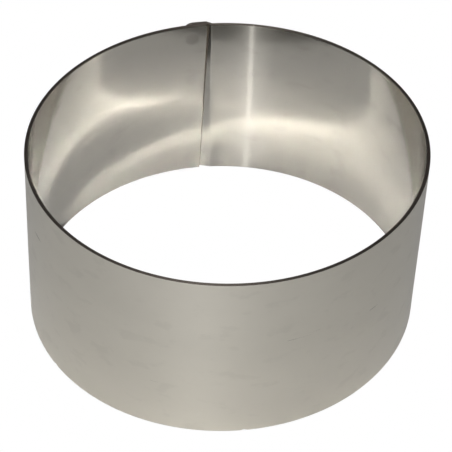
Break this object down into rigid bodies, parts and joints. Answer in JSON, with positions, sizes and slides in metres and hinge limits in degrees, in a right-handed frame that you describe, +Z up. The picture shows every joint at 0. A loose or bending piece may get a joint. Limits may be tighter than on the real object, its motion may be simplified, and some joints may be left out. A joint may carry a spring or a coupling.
{
  "type": "round pastry ring cutter",
  "caption": "Plain round pastry ring cutter, open top and bottom, rolled from one thin strip of satin stainless steel and closed by a joggled lap seam with spot welds.",
  "frame": {"origin": "the ring's axis at the level of its lower rim", "axes": "+Z up the ring's axis, +Y towards the lap seam, +X to the right of someone who looks at the seam from the axis"},
  "size_m": [0.092, 0.0923, 0.045],
  "materials": {
    "stainless_steel": "satin rolled sheet, finely scuffed",
    "weld_metal": "matt, fused by resistance welding"
  },
  "bodies": {
    "root": {"band": "stainless_steel", "weld_nugget_1": "weld_metal", "weld_nugget_2": "weld_metal", "weld_nugget_3": "weld_metal", "weld_nugget_4": "weld_metal"}
  },
  "joints": []
}
